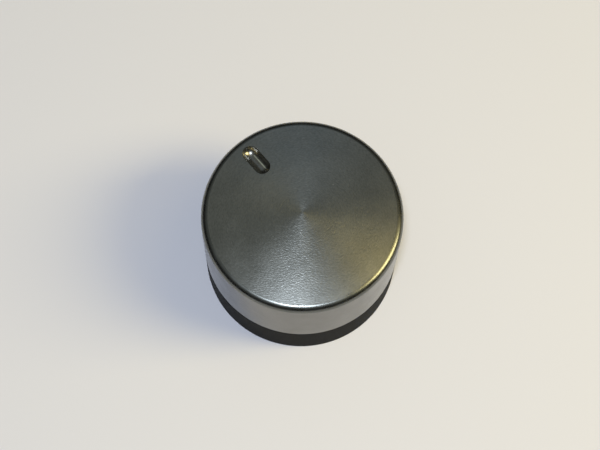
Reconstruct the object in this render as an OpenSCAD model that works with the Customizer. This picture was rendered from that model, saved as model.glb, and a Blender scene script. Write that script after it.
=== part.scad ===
// Push-on control knob: a turned aluminium cap over a black moulded hub.
// A spring ring closes the hub's split socket on a serrated shaft.
// Origin: centre of the rim it stands on. +Z runs up along the shaft, the pointer lies towards +Y.

/* [Cap] */
// Outer diameter of the cap
cap_d = 38; // [32:0.5:46]
// Height of the cap from its lower edge to the middle of its top
cap_h = 17.2; // [14:0.2:22]
// Thickness of the cap's side wall
cap_wall = 1.6; // [1:0.1:2.4]
// Thickness of the cap's top in the middle
cap_top = 3.4; // [2.8:0.1:4]
// Rise of the crowned top from its rim to its middle
crown_h = 0.8; // [0.3:0.1:1.2]
// Radius of the rim between top and side
rim_r = 1.4; // [0.4:0.1:2]
// Bevel on the cap's lower outer edge and at the mouth of its bore
cap_bevel = 0.2; // [0.1:0.05:0.4]
// Radius that the boring tool leaves in the corner under the top
corner_r = 0.5; // [0.2:0.1:0.6]

/* [Pointer groove] */
// Width of the groove where it meets the top
pointer_w = 3.1; // [2:0.1:4]
// Length of the groove, end to end
pointer_len = 6.6; // [5:0.1:10]
// Depth of the round-bottomed groove
pointer_depth = 1.3; // [0.6:0.1:1.4]
// Distance from the groove's outer end to the side of the cap
pointer_inset = 2; // [1.5:0.1:4]

/* [Base] */
// Height of the black base below the cap
base_h = 9.6; // [7:0.2:12]
// Wall thickness of the base
base_wall = 2; // [1.6:0.1:2.6]
// Thickness of the shoulder that carries the cap
shoulder_t = 1.8; // [1.2:0.1:3]
// Radius of the edge that meets the panel
foot_r = 0.4; // [0.2:0.1:0.8]
// Bevel on the base's upper outer edge
base_bevel = 0.2; // [0.1:0.05:0.4]

/* [Hub] */
// Wall thickness of the spigot inside the cap
spigot_wall = 1.6; // [1.2:0.1:2.2]
// Bevel on the spigot's top edge, which keeps clear of the corner under the cap's top
spigot_bevel = 0.6; // [0.5:0.1:1]
// Thickness of the plate that closes the spigot
plate_t = 2; // [1.4:0.1:3]
// Glue gap between the spigot and the cap's bore
glue_gap = 0.05; // [0.03:0.01:0.15]
// Gap between the plate and the inside of the cap's top
roof_gap = 0.1; // [0.05:0.05:0.3]
// Diameter of the socket boss
boss_d = 11; // [10:0.1:13]
// Depth of the recess for the panel nut, below the boss
nut_recess = 5; // [4.5:0.1:6]
// Number of ribs between boss and spigot
rib_count = 4; // [3:1:8]
// Thickness of a rib
rib_t = 1.4; // [0.8:0.1:2]
// Height of a rib below the plate
rib_h = 9; // [6:0.2:9.4]

/* [Shaft socket] */
// Diameter over the teeth of the serrated shaft
shaft_d = 6; // [5:0.1:6.4]
// Depth of the socket
socket_depth = 14; // [10:0.2:15]
// Number of serrations
teeth = 18; // [12:1:24]
// Height of a serration
tooth_h = 0.25; // [0.15:0.05:0.3]
// Width of a serration's groove
tooth_gap = 0.5; // [0.3:0.05:0.55]
// Lead-in bevel at the mouth of the socket
lead_in = 0.5; // [0.3:0.1:0.8]
// Number of fingers the boss is split into
fingers = 4; // [2:2:4]
// Width of the slit between two fingers
slit_w = 0.8; // [0.5:0.1:1.2]
// Length of the slits
slit_len = 6; // [5:0.1:6.2]

/* [Spring ring] */
// Thickness of the ring's strip
ring_t = 0.6; // [0.4:0.05:0.9]
// Height of the ring's strip
ring_h = 3; // [2:0.1:3.4]
// Opening between the ring's ends
ring_gap = 3; // [1.5:0.1:5]
// Depth of the seat cut into the boss for the ring
seat_depth = 0.5; // [0.3:0.05:0.8]
// Lip of the boss below the seat
seat_lip = 1.2; // [0.8:0.1:1.6]
// Clearance of the ring in its seat
ring_fit = 0.05; // [0.02:0.01:0.15]

/* [Hidden] */
$fn = 96;
// Sides of the crown's large circle
crown_fn = 720;
// Length by which a cutting tool runs past the face it cuts
cut = 1;

cap_r = cap_d / 2;
cap_bore_r = cap_r - cap_wall;
total_h = base_h + cap_h;
cap_roof = total_h - cap_top;

// The crown is part of a ball, and the round of the rim runs into it without an edge
rim_x = cap_r - rim_r;
rim_z = total_h - crown_h - rim_r;
crown_r = rim_r + (pow(rim_x, 2) / crown_h + crown_h) / 2;
crown_z = total_h - crown_r;
// End of the line from the rim's centre through the place where the two rounds meet
blend_reach = (crown_r + cut) / (crown_r - rim_r);
blend_end = [rim_x * blend_reach, crown_z + (rim_z - crown_z) * blend_reach];
function crown_at(distance) = crown_z + sqrt(pow(crown_r, 2) - pow(distance, 2));

// A cutter of this radius leaves a groove of the stated width and depth
groove_r = (pow(pointer_w / 2, 2) + pow(pointer_depth, 2)) / (2 * pointer_depth);
groove_out = cap_r - pointer_inset - pointer_w / 2;
groove_in = groove_out - (pointer_len - pointer_w);
// The cutter's centre follows the crown
groove_out_z = crown_at(groove_out) - pointer_depth + groove_r;
groove_in_z = crown_at(groove_in) - pointer_depth + groove_r;
groove_run = [groove_out - groove_in, groove_out_z - groove_in_z];
groove_stroke = norm(groove_run);

spigot_r = cap_bore_r - glue_gap;
spigot_bore_r = spigot_r - spigot_wall;
hub_top = cap_roof - roof_gap;
plate_low = hub_top - plate_t;
boss_r = boss_d / 2;

tooth_root_r = shaft_d / 2;
tooth_tip_r = tooth_root_r - tooth_h;
slit_planes = fingers / 2;
// The slits lie half-way between the ribs
slit_turn = 180 / rib_count;

seat_r = boss_r - seat_depth;
ring_low = nut_recess + seat_lip;
ring_r = seat_r + ring_fit;

cap_colour = [0.6, 0.6, 0.58];
hub_colour = [0.07, 0.07, 0.07];
ring_colour = [0.75, 0.76, 0.78];

// Half section of the crown, up to the line where it meets the round of the rim
module crown_section() {
    intersection() {
        translate([0, crown_z]) circle(r = crown_r, $fn = crown_fn);
        polygon([[0, rim_z], [rim_x, rim_z], blend_end, [0, total_h + cut]]);
    }
}

// Half section of the round of the rim, from that line to the side
module rim_section() {
    intersection() {
        translate([rim_x, rim_z]) circle(r = rim_r);
        polygon([[rim_x, rim_z], blend_end, [cap_r + cut, total_h], [cap_r + cut, rim_z]]);
    }
}

// Half section of the cap: crowned top, round rim, straight side, open below
module cap_section() {
    difference() {
        union() {
            polygon([
                [0, base_h],
                [cap_r - cap_bevel, base_h],
                [cap_r, base_h + cap_bevel],
                [cap_r, rim_z],
                [0, rim_z]
            ]);
            crown_section();
            rim_section();
        }
        polygon([
            [0, base_h - cut],
            [cap_bore_r + cap_bevel + cut, base_h - cut],
            [cap_bore_r, base_h + cap_bevel],
            [cap_bore_r, cap_roof - corner_r],
            [cap_bore_r - corner_r, cap_roof],
            [0, cap_roof]
        ]);
        translate([cap_bore_r - corner_r, cap_roof - corner_r]) circle(r = corner_r);
    }
}

// Half section of the cutter's stroke: a bar with half a ball at each end
module stroke_section() {
    intersection() {
        union() {
            circle(r = groove_r);
            translate([0, groove_stroke]) circle(r = groove_r);
            square([groove_r, groove_stroke]);
        }
        translate([0, -groove_r - cut])
            square([groove_r + cut, groove_stroke + 2 * (groove_r + cut)]);
    }
}

// Stroke of a ball-nosed cutter along the pointer, sloped like the crown
module pointer_cutter() {
    translate([0, groove_in, groove_in_z])
        rotate([atan2(groove_run.y, groove_run.x) - 90, 0, 0])
            rotate_extrude() stroke_section();
}

module cap() {
    color(cap_colour)
        difference() {
            rotate_extrude() cap_section();
            pointer_cutter();
        }
}

// Half section of the moulding: base, shoulder, spigot and the plate that closes it
module hub_section() {
    polygon([
        [cap_r - base_wall, 0],
        [cap_r - foot_r, 0],
        [cap_r, foot_r],
        [cap_r, base_h - base_bevel],
        [cap_r - base_bevel, base_h],
        [spigot_r, base_h],
        [spigot_r, hub_top - spigot_bevel],
        [spigot_r - spigot_bevel, hub_top],
        [0, hub_top],
        [0, plate_low],
        [spigot_bore_r, plate_low],
        [spigot_bore_r, base_h - shoulder_t],
        [cap_r - base_wall, base_h - shoulder_t]
    ]);
    translate([cap_r - foot_r, foot_r]) circle(r = foot_r);
}

module ribs() {
    for (i = [0 : rib_count - 1]) {
        rotate(i * 360 / rib_count)
            translate([0, -rib_t / 2, plate_low - rib_h])
                cube([spigot_bore_r + spigot_wall / 2, rib_t, rib_h + plate_t / 2]);
    }
}

// Section of the socket: a round hole with a V-shaped groove for each tooth of the shaft
module socket_section() {
    circle(r = tooth_tip_r);
    for (i = [0 : teeth - 1]) {
        rotate((i + 0.5) * 360 / teeth)
            polygon([
                [tooth_tip_r - tooth_h, -tooth_gap],
                [tooth_root_r, 0],
                [tooth_tip_r - tooth_h, tooth_gap]
            ]);
    }
}

module socket() {
    translate([0, 0, nut_recess - cut])
        linear_extrude(cut + socket_depth) socket_section();
    translate([0, 0, nut_recess - cut])
        cylinder(r1 = tooth_tip_r + lead_in + cut, r2 = tooth_tip_r, h = lead_in + cut);
}

module slits() {
    for (i = [0 : slit_planes - 1]) {
        rotate(slit_turn + i * 180 / slit_planes)
            translate([-boss_d, -slit_w / 2, nut_recess - cut])
                cube([2 * boss_d, slit_w, slit_len + cut]);
    }
}

// The band around the boss that the spring ring sits in
module ring_seat() {
    translate([0, 0, ring_low - ring_fit])
        linear_extrude(ring_h + 2 * ring_fit)
            difference() {
                circle(r = boss_r + cut);
                circle(r = seat_r);
            }
}

module hub() {
    color(hub_colour)
        difference() {
            union() {
                rotate_extrude() hub_section();
                ribs();
                translate([0, 0, nut_recess])
                    cylinder(r = boss_r, h = plate_low + plate_t / 2 - nut_recess);
            }
            socket();
            slits();
            ring_seat();
        }
}

module spring_ring() {
    color(ring_colour)
        translate([0, 0, ring_low])
            linear_extrude(ring_h)
                difference() {
                    circle(r = ring_r + ring_t);
                    circle(r = ring_r);
                    translate([-ring_gap / 2, -ring_r - 2 * ring_t]) square([ring_gap, ring_r]);
                }
}

cap();
hub();
spring_ring();
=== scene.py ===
# %% [markdown]
# # A spun metal control knob
# This lesson dresses a push-on control knob of the sort that turns a hi-fi set's volume.
# The knob has three pieces: a turned aluminium cap, a black plastic hub whose base shows below
# the cap, and a spring ring hidden under the hub. Their solids are already made, so nothing here
# moves or reshapes them. What we add is the surface of each piece: how it was cut, moulded or
# rolled, and what that does to light.

# %% Load the solids
import math

import bpy
from mathutils import Matrix, Vector


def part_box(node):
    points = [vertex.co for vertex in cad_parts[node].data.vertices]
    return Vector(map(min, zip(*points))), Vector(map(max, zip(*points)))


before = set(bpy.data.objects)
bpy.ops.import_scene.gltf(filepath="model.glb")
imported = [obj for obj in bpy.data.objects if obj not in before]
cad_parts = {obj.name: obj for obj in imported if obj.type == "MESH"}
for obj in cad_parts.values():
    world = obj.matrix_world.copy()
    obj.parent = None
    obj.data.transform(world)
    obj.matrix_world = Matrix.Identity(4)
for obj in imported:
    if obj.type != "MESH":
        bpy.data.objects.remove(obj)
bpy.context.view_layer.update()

MM = 0.001
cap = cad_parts["cap"]
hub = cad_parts["hub"]
spring_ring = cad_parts["spring_ring"]
cap_low, cap_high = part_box("cap")
cap_radius = cap_high.x
# The top is crowned: its rim lies this far below its middle
CROWN = 0.8 * MM
rim_top = cap_high.z - CROWN
print("pieces:", sorted(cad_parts))
print("cap from", round(cap_low.z / MM, 2), "to", round(cap_high.z / MM, 2), "mm above the floor")

# %% [markdown]
# ## The camera
# The knob is seen from high above, with its pointer up and to the left. We could place the camera
# by its coordinates, but an angle, a height and a distance are easier to read and to change.
# It stands only some 28 cm off, so the base, which is further away, looks smaller than the top.

# %% Place the camera
PICTURE_W = 600
# A turn is seen from above: 0 lies to the viewer's right, 90 behind the knob, -90 in front of it
FRONT = math.radians(-90)
VIEW_TURN = math.radians(-41.8)
VIEW_HEIGHT = math.radians(70.8)
VIEW_ROLL = math.radians(2.4)
VIEW_DISTANCE = 279.8 * MM
LENS_MM = 90
# The camera aims at a point below the rim, which lies a little right of the picture's middle
AIM_DROP = 6.7 * MM
SIDE_SHIFT_PX = 2.0
top_centre = Vector((0, 0, rim_top))


def around(turn, height, distance):
    """Point at that turn, height angle and distance from the middle of the rim."""
    angle = turn + VIEW_TURN
    flat = math.cos(height) * distance
    offset = Vector((math.cos(angle) * flat, math.sin(angle) * flat, math.sin(height) * distance))
    return top_centre + offset


def look_at(item, target, roll=0.0):
    """Turns a camera or lamp so that its -Z axis points at the target."""
    turn = (target - item.location).to_track_quat("-Z", "Y").to_matrix()
    item.rotation_euler = (turn @ Matrix.Rotation(roll, 3, "Z")).to_euler()


camera = bpy.data.objects.new("camera", bpy.data.cameras.new("camera"))
bpy.context.scene.collection.objects.link(camera)
camera.data.lens = LENS_MM
camera.data.clip_start = 1 * MM
camera.data.shift_x = -SIDE_SHIFT_PX / PICTURE_W
camera.location = around(FRONT, VIEW_HEIGHT, VIEW_DISTANCE)
look_at(camera, top_centre - Vector((0, 0, AIM_DROP)), VIEW_ROLL)
bpy.context.scene.camera = camera
print("camera at", [round(x / MM, 1) for x in camera.location], "mm")

# %% [markdown]
# ## Colour and nodes
# Colours are read off a screen as hex values, which are not linear, while the renderer adds light
# up in linear numbers. One function turns the first into the second. Materials could be wired by
# hand in the editor, but a script can be read and run again. So a second function adds a shader
# node, sets what it is given and links what comes from other nodes.

# %% Helpers for materials
def linear(hex_colour):
    """Linear RGBA of an sRGB hex colour."""
    parts = [int(hex_colour[i:i + 2], 16) / 255 for i in (1, 3, 5)]
    return tuple(c / 12.92 if c <= 0.04045 else ((c + 0.055) / 1.055) ** 2.4 for c in parts) + (1.0,)


def add(tree, kind, inputs=None, **settings):
    """Adds a shader node, sets its settings, and sets or links its inputs."""
    node = tree.nodes.new("ShaderNode" + kind)
    for name, value in settings.items():
        setattr(node, name, value)
    fill(tree, node, inputs or {})
    return node


def fill(tree, node, inputs):
    """Sets the inputs that are given as values, and links those given as sockets."""
    for name, value in inputs.items():
        if isinstance(value, bpy.types.NodeSocket):
            tree.links.new(value, node.inputs[name])
        else:
            node.inputs[name].default_value = value


def material(name):
    """New material, its node tree, and its Principled shader, which is already on the output."""
    made = bpy.data.materials.new(name)
    made.use_nodes = True
    tree = made.node_tree
    tree.nodes.clear()
    shader = add(tree, "BsdfPrincipled")
    add(tree, "OutputMaterial", {"Surface": shader.outputs["BSDF"]})
    return made, tree, shader


print("mid grey #808080 is", round(linear("#808080")[0], 3), "in linear light")

# %% [markdown]
# ## The floor
# The knob stands on a wide sheet of matt paper. A glossy sheet would mirror the lamps beside the
# knob, and a patterned one would show in the metal: the pale side of the cap is the paper, mirrored.

# %% Lay the floor
FLOOR_HALF = 1500 * MM
corners = [(-1, -1), (1, -1), (1, 1), (-1, 1)]
floor_mesh = bpy.data.meshes.new("floor")
floor_mesh.from_pydata([(x * FLOOR_HALF, y * FLOOR_HALF, 0) for x, y in corners], [], [(0, 1, 2, 3)])
floor = bpy.data.objects.new("floor", floor_mesh)
bpy.context.scene.collection.objects.link(floor)

pale_paper, tree, shader = material("pale_matt_paper")
fill(tree, shader, {"Base Color": linear("#E1E0E8"), "Roughness": 0.9})
floor_mesh.materials.append(pale_paper)
print("floor:", pale_paper.name, round(2 * FLOOR_HALF / MM), "mm wide")

# %% [markdown]
# ## The lamps
# Spun metal has hardly a look of its own: it shows the room, so the lamps are part of the finish.
# A small cool lamp beside the camera draws a bright wedge on the top. Two tall warm ones lean on
# the right: the high one draws a second, yellower wedge, and the low one the yellow line on the
# rim. A faint cool one behind adds a soft wedge on the far side. A photographed room could do all
# this too, but lamps can be moved one by one until each wedge lies where it should.

# %% Hang the lamps
LAMP_DISTANCE = 640 * MM


def lamp(name, turn_deg, height_deg, width, tall, watts, colour, lean_deg=0.0):
    """Soft oval lamp aimed at the knob. Seen from behind the lamp, it leans to the right."""
    light = bpy.data.lights.new(name, "AREA")
    light.shape = "ELLIPSE"
    light.size = width
    light.size_y = tall
    light.energy = watts
    light.color = linear(colour)[:3]
    placed = bpy.data.objects.new(name, light)
    bpy.context.scene.collection.objects.link(placed)
    placed.location = around(math.radians(turn_deg), math.radians(height_deg), LAMP_DISTANCE)
    look_at(placed, top_centre, math.radians(-lean_deg))
    print(name, "lights from", turn_deg, "degrees, height", height_deg)


lamp("key_lamp", -97, 74.5, 92 * MM, 92 * MM, 2.5, "#E8F2FF")
lamp("warm_high_lamp", 3, 58, 210 * MM, 470 * MM, 0.56, "#FFE288", lean_deg=18)
lamp("warm_low_lamp", -4, 41, 200 * MM, 460 * MM, 2.25, "#FFEEAE", lean_deg=-28)
lamp("cool_back_lamp", 95, 55, 220 * MM, 240 * MM, 0.026, "#A8D4FF")

# %% [markdown]
# ## The room
# Between the lamps the metal shows the room itself. It is brightest at mid-height and a little
# dimmer overhead, which makes the rest of the top grey, and dark near the horizon, which gives the
# rim its dark line. Walls could be built for that, but a ramp of light over height is enough.

# %% Light the room
# Linear light of the room. A height is a share of straight up: 0 at the horizon, 1 overhead.
DUSK = (0.015, 0.015, 0.015, 1)
DUSK_TOP = 0.45
BRIGHTEST = (0.193, 0.204, 0.188, 1)
BRIGHTEST_HEIGHT = 0.84
OVERHEAD = (0.147, 0.153, 0.126, 1)

room = bpy.data.worlds.new("dim_room")
bpy.context.scene.world = room
room.use_nodes = True
tree = room.node_tree
tree.nodes.clear()
direction = add(tree, "TexCoord").outputs["Generated"]
upward = add(tree, "SeparateXYZ", {"Vector": direction}).outputs["Z"]
ramp = add(tree, "ValToRGB", {"Fac": upward})
dusk, overhead = ramp.color_ramp.elements
dusk.color = DUSK
dusk.position = DUSK_TOP
overhead.color = OVERHEAD
brightest = ramp.color_ramp.elements.new(BRIGHTEST_HEIGHT)
brightest.color = BRIGHTEST
glow = add(tree, "Background", {"Color": ramp.outputs["Color"]})
add(tree, "OutputWorld", {"Surface": glow.outputs["Background"]})
bpy.context.scene.view_settings.view_transform = "Standard"
print("room: brightest at a height of", round(math.degrees(math.asin(BRIGHTEST_HEIGHT))), "degrees")

# %% [markdown]
# ## The cap's finishes
# The cap is one piece of aluminium, but an abrasive pad, a roller, a lathe tool and a milling
# cutter each left their own surface on it. Each face of the mesh gets the finish of the tool that
# made it: on the crowned top, on the round rim, on the side, in the pointer groove, or inside. We
# could pick the faces by hand, but a rule that reads where a face lies is easier to check.

# %% Sort the cap's faces
TOUCH = 0.02 * MM
# Radius of the rim between top and side
RIM = 1.4 * MM
# The crown is never steeper than this, and the round of the rim always is
CROWN_SLOPE = math.radians(6.5)


def cap_region(face):
    """Name of the finish for a face of the cap."""
    radius = math.hypot(face.center.x, face.center.y)
    if face.normal.z > math.cos(CROWN_SLOPE) and face.center.z > rim_top - TOUCH:
        return "top"
    outward = (face.normal.x * face.center.x + face.normal.y * face.center.y) / max(radius, TOUCH)
    if outward > 0 and radius > cap_radius - RIM - TOUCH:
        return "rim" if face.center.z > rim_top - RIM - TOUCH else "side"
    if face.center.z > rim_top - RIM - TOUCH:
        return "groove"
    return "inside"


cap_faces = [cap_region(face) for face in cap.data.polygons]
print("cap faces:", {name: cap_faces.count(name) for name in sorted(set(cap_faces))})

# %% [markdown]
# ## Lines round the axis
# A turning tool leaves lines round the axis, so we need a noise that is short across the lines and
# long along them. Wrapping it round the axis by its angle would leave a seam. Instead the noise is
# read in space, stretched in the plane and squeezed along a third axis that is fed with the radius.

# %% Make the noise in rings
def from_axis(tree):
    """Place on a piece, and the part of it that leads straight out from the axis."""
    place = add(tree, "TexCoord").outputs["Object"]
    outward = add(tree, "VectorMath", {0: place, 1: (1, 1, 0)}, operation="MULTIPLY").outputs[0]
    return place, outward


def ring_noise(tree, spacing, length, seed=0.0, detail=2.0):
    """Noise in rings round the axis: spacing across them, length along them."""
    place, outward = from_axis(tree)
    radius = add(tree, "VectorMath", {0: outward}, operation="LENGTH").outputs["Value"]
    height = add(tree, "SeparateXYZ", {0: place}).outputs["Z"]
    # Down the side the height takes the place of the radius
    travel = add(tree, "Math", {0: radius, 1: height}, operation="SUBTRACT").outputs[0]
    across = add(tree, "Math", {0: travel, 1: 1 / spacing}, operation="MULTIPLY").outputs[0]
    lift = add(tree, "CombineXYZ", {"X": seed, "Y": -seed, "Z": across}).outputs[0]
    spread = add(tree, "VectorMath", {0: outward, "Scale": 1 / length}, operation="SCALE").outputs[0]
    where = add(tree, "VectorMath", {0: spread, 1: lift}, operation="ADD").outputs[0]
    noise = add(tree, "TexNoise", {"Vector": where, "Scale": 1.0, "Detail": detail})
    return noise.outputs["Fac"]


print("pattern: noise in rings round the axis")

# %% [markdown]
# ## Marks of use
# Handling leaves a film in soft patches, hairline scratches and a few specks of dust. They could be
# painted by hand, but patterns worked out from sizes in millimetres have no seam and no edge.

# %% Make the marks
# Most of a noise lies between these values
NOISE_LOW = 0.35
NOISE_HIGH = 0.65


def patches(tree, size, low, high):
    """Soft patches of about that size, from the low value to the high one."""
    place = add(tree, "TexCoord").outputs["Object"]
    noise = add(tree, "TexNoise", {"Vector": place, "Scale": 1 / size, "Detail": 3.0}).outputs["Fac"]
    return add(tree, "MapRange", {"Value": noise, "From Min": NOISE_LOW, "From Max": NOISE_HIGH,
                                  "To Min": low, "To Max": high}).outputs[0]


def scratches(tree, turn_deg, length, width, share):
    """Mask of straight hairlines that lie at an angle in the plane. A larger share gives more."""
    place = add(tree, "TexCoord").outputs["Object"]
    turned = add(tree, "Mapping", {"Vector": place, "Rotation": (0, 0, math.radians(turn_deg)),
                                   "Scale": (1 / length, 1 / width, 1 / length)}).outputs[0]
    noise = add(tree, "TexNoise", {"Vector": turned, "Scale": 1.0, "Detail": 0.0}).outputs["Fac"]
    return add(tree, "MapRange", {"Value": noise, "From Min": 1 - share,
                                  "From Max": 1 - share / 2}).outputs[0]


def specks(tree, spacing, size, share):
    """Mask of small round specks: that share of the cells holds one."""
    place = add(tree, "TexCoord").outputs["Object"]
    cells = add(tree, "TexVoronoi", {"Vector": place, "Scale": 1 / spacing})
    small = add(tree, "Math", {0: cells.outputs["Distance"], 1: size / spacing / 2},
                operation="LESS_THAN").outputs[0]
    chance = add(tree, "SeparateColor", {0: cells.outputs["Color"]}).outputs[0]
    chosen = add(tree, "Math", {0: chance, 1: share}, operation="LESS_THAN").outputs[0]
    return add(tree, "Math", {0: small, 1: chosen}, operation="MULTIPLY").outputs[0]


print("patterns: patches, scratches, specks")

# %% [markdown]
# ## True normals
# The solids come as flat triangles, and their shading wobbles where the crown meets the rim, which
# would bend the highlights into a zigzag. A finer mesh could cure that, but the solids stay as they
# are. Crown and rim are turned and have round sections, so the true normal at any place points
# there from the centre of its section. A few nodes work that out, because the piece's own axes lie
# along those of the world.

# %% Work out the normal
def round_normal(tree, centre_radius, centre_height):
    """Normal of a turned surface, whose round section has its centre at that radius and height."""
    place, outward = from_axis(tree)
    unit = add(tree, "VectorMath", {0: outward}, operation="NORMALIZE").outputs[0]
    centre = add(tree, "VectorMath", {0: unit, 1: (centre_radius,) * 3, 2: (0, 0, centre_height)},
                 operation="MULTIPLY_ADD").outputs[0]
    away = add(tree, "VectorMath", {0: place, 1: centre}, operation="SUBTRACT").outputs[0]
    return add(tree, "VectorMath", {0: away}, operation="NORMALIZE").outputs[0]


rim_radius = cap_radius - RIM
crown_radius = RIM + (rim_radius ** 2 / CROWN + CROWN) / 2
print("sections: rim", round(RIM / MM, 2), "mm, crown", round(crown_radius / MM, 1), "mm in radius")

# %% [markdown]
# ## Spun anodised aluminium
# An abrasive pad pressed on the turning cap leaves fine rings round its centre. Across the rings
# the surface is rough, along them it is smoother, so a lamp is drawn out into a wedge from the
# centre to the rim. Real rings would take millions of faces. Instead an anisotropic shader, with a
# tangent round the Z axis, gives the wedge, and a bump with the grain of the pad makes it sparkle.
# The top is crowned, so on the near side the wedges grow towards the rim, and on the far side they
# fade.

# %% Colour the spun top
# The real grain is about 0.03 mm. It is drawn coarser here, so that a picture can show it.
GRAIN_ACROSS = 0.19 * MM
GRAIN_ALONG = 0.45 * MM

spun_top, tree, shader = material("spun_anodised_aluminium")
grain = ring_noise(tree, GRAIN_ACROSS, GRAIN_ALONG, detail=1.0)
grained = add(tree, "Mix", {"Factor": grain, "A": linear("#727371"), "B": linear("#9C9E9B")},
              data_type="RGBA").outputs["Result"]
rings = ring_noise(tree, spacing=0.5 * MM, length=30 * MM, seed=7.0)
shade = add(tree, "MapRange", {"Value": rings, "To Min": 0.94, "To Max": 1.06}).outputs[0]
ringed = add(tree, "Mix", {"Factor": 1.0, "A": grained, "B": shade},
             data_type="RGBA", blend_type="MULTIPLY").outputs["Result"]
film = patches(tree, size=8 * MM, low=0.95, high=1.04)
filmed = add(tree, "Mix", {"Factor": 1.0, "A": ringed, "B": film},
             data_type="RGBA", blend_type="MULTIPLY").outputs["Result"]
hairlines = scratches(tree, turn_deg=24, length=5 * MM, width=0.1 * MM, share=0.22)
scratched = add(tree, "Mix", {"Factor": hairlines, "A": filmed, "B": linear("#9C9B96")},
                data_type="RGBA").outputs["Result"]
dust = specks(tree, spacing=2.6 * MM, size=0.22 * MM, share=0.12)
dusty = add(tree, "Mix", {"Factor": dust, "A": scratched, "B": linear("#C8C8C2")},
            data_type="RGBA").outputs["Result"]
print("spun top: grain", GRAIN_ACROSS / MM, "by", GRAIN_ALONG / MM, "mm")

# %% Cut the grain of the spun top
GRAIN_DEPTH = 0.0144 * MM
# The pad moves slowest near the middle, so it cuts deeper there by this factor
MIDDLE_DEPTH = 2.4
# It leaves the middle slightly peaked: this slope outwards there, and half of it at the rim
PEAK_SLOPE = 0.01
# The tangent runs along the rings, and a quarter turn draws highlights out across them
QUARTER_TURN = 0.25

radius = add(tree, "VectorMath", {0: from_axis(tree)[1]}, operation="LENGTH").outputs["Value"]
deep = add(tree, "MapRange", {"Value": radius, "From Max": cap_radius,
                              "To Min": MIDDLE_DEPTH * GRAIN_DEPTH, "To Max": GRAIN_DEPTH}).outputs[0]
slope = add(tree, "MapRange", {"Value": radius, "From Max": cap_radius,
                               "To Min": -PEAK_SLOPE, "To Max": -PEAK_SLOPE / 2}).outputs[0]
raised = add(tree, "Math", {0: grain, 1: deep}, operation="MULTIPLY").outputs[0]
relief = add(tree, "Math", {0: radius, 1: slope, 2: raised}, operation="MULTIPLY_ADD").outputs[0]
bump = add(tree, "Bump", {"Height": relief, "Strength": 1.0, "Distance": 1.0,
                          "Normal": round_normal(tree, 0.0, cap_high.z - crown_radius)})
fill(tree, shader, {
    "Metallic": 1.0, "Base Color": dusty,
    "Roughness": patches(tree, size=5 * MM, low=0.275, high=0.31),
    "Anisotropic": 0.32, "Anisotropic Rotation": QUARTER_TURN,
    "Normal": bump.outputs[0],
    "Tangent": add(tree, "Tangent", direction_type="RADIAL", axis="Z").outputs[0]})
print("spun top: grain", round(GRAIN_DEPTH / MM, 4), "mm deep at the rim")

# %% [markdown]
# ## Rim and side
# The rim is burnished by a roller, so its lamps are sharp white and yellow lines. The side is
# turned with a fine feed and only satin: it mirrors the floor, with faint lines round it. Fingers
# hold a knob by its side, which leaves a film in patches. These surfaces differ only in colour,
# sheen and tool lines, so one function makes them, and the bore of the cap as well. A material
# apiece would say the same thing three times.

# %% Make the rim, the side and the inside
def turned_metal(name, dark, light, rough, streak, spacing, length, depth, section=None):
    """Metal with tool lines round the axis, a film of handling and a roughness that wanders."""
    made, tree, shader = material(name)
    lines = ring_noise(tree, spacing, length, seed=3.0)
    lined = add(tree, "Mix", {"Factor": lines, "A": linear(dark), "B": linear(light)},
                data_type="RGBA").outputs["Result"]
    film = patches(tree, size=4 * MM, low=0.92, high=1.06)
    filmed = add(tree, "Mix", {"Factor": 1.0, "A": lined, "B": film},
                 data_type="RGBA", blend_type="MULTIPLY").outputs["Result"]
    bump = add(tree, "Bump", {"Height": lines, "Strength": 1.0, "Distance": depth})
    if section:
        fill(tree, bump, {"Normal": round_normal(tree, *section)})
    fill(tree, shader, {
        "Metallic": 1.0, "Base Color": filmed,
        "Roughness": patches(tree, size=3 * MM, low=rough - 0.02, high=rough + 0.03),
        "Anisotropic": streak, "Anisotropic Rotation": QUARTER_TURN,
        "Normal": bump.outputs[0],
        "Tangent": add(tree, "Tangent", direction_type="RADIAL", axis="Z").outputs[0]})
    return made


rim = turned_metal("burnished_anodised_aluminium", "#6A6C6A", "#7C7E7B", rough=0.27, streak=0.2,
                   spacing=0.19 * MM, length=0.6 * MM, depth=0.0015 * MM,
                   section=(rim_radius, rim_top - RIM))
side = turned_metal("fine_turned_anodised_aluminium", "#5A5956", "#6A6966", rough=0.19, streak=0.5,
                    spacing=0.2 * MM, length=9 * MM, depth=0.0005 * MM)
inside = turned_metal("bored_aluminium", "#A9A8A5", "#C4C3C0", rough=0.4, streak=0.5,
                      spacing=0.3 * MM, length=6 * MM, depth=0.004 * MM)
print("rim, side and inside:", rim.name, side.name, inside.name)

# %% [markdown]
# ## The milled groove
# A ball-nosed cutter ran along the pointer and left a bright trough. A pale line a little beside
# the middle is a painted highlight: a lighter stripe in the colour stands in for a lamp's reflection
# along the groove. Across the groove lie the fine scallops of the feed. They are far too shallow to
# model, so a bump draws them.

# %% Make the groove
# The painted highlight, a pale line: its place across the pointer, its width, and its ends along the
# pointer
HIGHLIGHT_X = 0.55 * MM
HIGHLIGHT_WIDTH = 0.26 * MM
HIGHLIGHT_FROM = 11.3 * MM
HIGHLIGHT_TO = 15.1 * MM
# Feed of the cutter for each turn, and the depth of the marks that it leaves
SCALLOP = 0.3 * MM
SCALLOP_DEPTH = 0.00005 * MM

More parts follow.
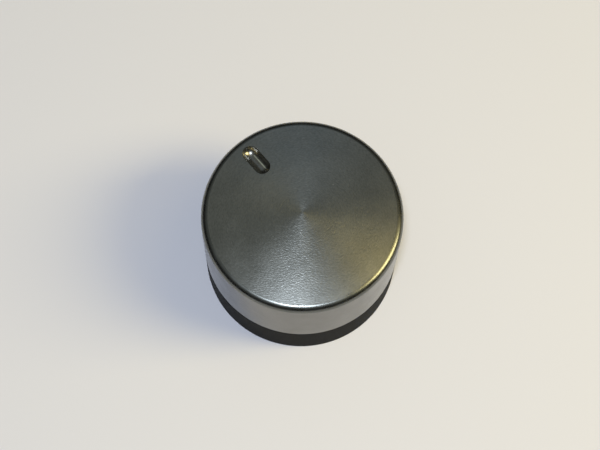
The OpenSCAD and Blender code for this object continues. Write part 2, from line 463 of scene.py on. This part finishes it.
groove, tree, shader = material("ball_milled_aluminium")
place = add(tree, "SeparateXYZ", {0: add(tree, "TexCoord").outputs["Object"]})
off_line = add(tree, "Math", {0: place.outputs["X"], 1: HIGHLIGHT_X}, operation="SUBTRACT").outputs[0]
aside = add(tree, "Math", {0: off_line}, operation="ABSOLUTE").outputs[0]
stripe = add(tree, "MapRange", {"Value": aside, "From Min": HIGHLIGHT_WIDTH / 2,
                                "From Max": HIGHLIGHT_WIDTH / 4}).outputs[0]
between = add(tree, "Math", {0: place.outputs["Y"], 1: (HIGHLIGHT_FROM + HIGHLIGHT_TO) / 2,
                             2: (HIGHLIGHT_TO - HIGHLIGHT_FROM) / 2}, operation="COMPARE").outputs[0]
painted_highlight = add(tree, "Math", {0: stripe, 1: between}, operation="MULTIPLY").outputs[0]
cut = add(tree, "Mix", {"Factor": patches(tree, size=0.8 * MM, low=0.0, high=1.0),
                        "A": linear("#82817C"), "B": linear("#94938E")},
          data_type="RGBA").outputs["Result"]
# Painted highlight: this pale stripe in the colour stands in for a lamp's reflection along the groove
# floor
lightened = add(tree, "Mix", {"Factor": painted_highlight, "A": cut, "B": linear("#E9ECD8")},
             data_type="RGBA").outputs["Result"]
feed = add(tree, "Math", {0: place.outputs["Y"], 1: 2 * math.pi / SCALLOP},
           operation="MULTIPLY").outputs[0]
scallops = add(tree, "Math", {0: feed}, operation="SINE").outputs[0]
bump = add(tree, "Bump", {"Height": scallops, "Strength": 1.0, "Distance": SCALLOP_DEPTH})
fill(tree, shader, {
    "Metallic": 1.0, "Base Color": lightened,
    "Roughness": patches(tree, size=0.5 * MM, low=0.26, high=0.32),
    "Normal": bump.outputs[0]})
print("groove: pale line", round((HIGHLIGHT_TO - HIGHLIGHT_FROM) / MM, 1), "mm long")

# %% Give each face of the cap its finish
finishes = {"top": spun_top, "rim": rim, "side": side, "groove": groove, "inside": inside}
cap.data.materials.clear()
for finish in finishes.values():
    cap.data.materials.append(finish)
for face, region in zip(cap.data.polygons, cap_faces):
    face.material_index = list(finishes).index(region)
print("cap finishes:", [finish.name for finish in finishes.values()])

# %% [markdown]
# ## Moulded black ABS
# The hub comes out of a steel mould whose walls were spark-eroded to a fine matt. The plastic
# copies them, so its black is even and nearly dull, with a faint sheen where the light grazes it.
# Its lower edge slides on tables and panels, which rubs the matt smooth and a little grey there.
# One flat black would do for a distant view, but close by the eye looks for the grit and the wear.

# %% Make the black moulding
# The real grit is some hundredths of a millimetre. It is drawn coarser, so that a picture can show it.
GRIT = 0.18 * MM
GRIT_DEPTH = 0.012 * MM
# Height of the rubbed band, and how much smoother it is than the matt
WORN_HEIGHT = 0.7 * MM
WORN_SMOOTHER = 0.2
# The pits of the matt swallow most of the shine that bare ABS would have
SHINE = 0.12

black_abs, tree, shader = material("moulded_black_abs")
place = add(tree, "TexCoord").outputs["Object"]
height = add(tree, "SeparateXYZ", {0: place}).outputs["Z"]
low = add(tree, "MapRange", {"Value": height, "From Min": WORN_HEIGHT, "From Max": 0.0}).outputs[0]
worn = add(tree, "Math", {0: low, 1: patches(tree, size=1.5 * MM, low=0.1, high=1.0)},
           operation="MULTIPLY").outputs[0]
black = add(tree, "Mix", {"Factor": patches(tree, size=3 * MM, low=0.0, high=1.0),
                          "A": linear("#0B0B0B"), "B": linear("#111110")},
            data_type="RGBA").outputs["Result"]
lightened = add(tree, "Mix", {"Factor": worn, "A": black, "B": linear("#1F1F1E")},
             data_type="RGBA").outputs["Result"]
dust = specks(tree, spacing=1.6 * MM, size=0.14 * MM, share=0.15)
dusty = add(tree, "Mix", {"Factor": dust, "A": lightened, "B": linear("#3A3A37")},
            data_type="RGBA").outputs["Result"]
grit = add(tree, "TexNoise", {"Vector": place, "Scale": 1 / GRIT, "Detail": 3.0}).outputs["Fac"]
matt = add(tree, "MapRange", {"Value": grit, "From Min": 0.3, "From Max": 0.7,
                              "To Min": 0.6, "To Max": 0.78}).outputs[0]
smoothed = add(tree, "Math", {0: worn, 1: -WORN_SMOOTHER, 2: matt}, operation="MULTIPLY_ADD").outputs[0]
bump = add(tree, "Bump", {"Height": grit, "Strength": 1.0, "Distance": GRIT_DEPTH})
fill(tree, shader, {
    "Base Color": dusty, "Roughness": smoothed, "Specular IOR Level": SHINE,
    "Normal": bump.outputs[0]})
hub.data.materials.clear()
hub.data.materials.append(black_abs)
print("hub:", black_abs.name, "rubbed up to", round(WORN_HEIGHT / MM, 2), "mm")

# %% [markdown]
# ## Rolled spring steel
# The ring is bent from hardened strip that left the rolling mill bright, with fine lines along it.
# A film of oil keeps the rust away and darkens it a little in patches. Bent into a ring, the lines
# run round the axis, so the function for turned metal serves here too.

# %% Make the spring steel
spring_steel = turned_metal("rolled_spring_steel", "#A2A2A4", "#BDBDBE", rough=0.3, streak=0.5,
                            spacing=0.15 * MM, length=8 * MM, depth=0.002 * MM)
spring_ring.data.materials.clear()
spring_ring.data.materials.append(spring_steel)
print("spring ring:", spring_steel.name)
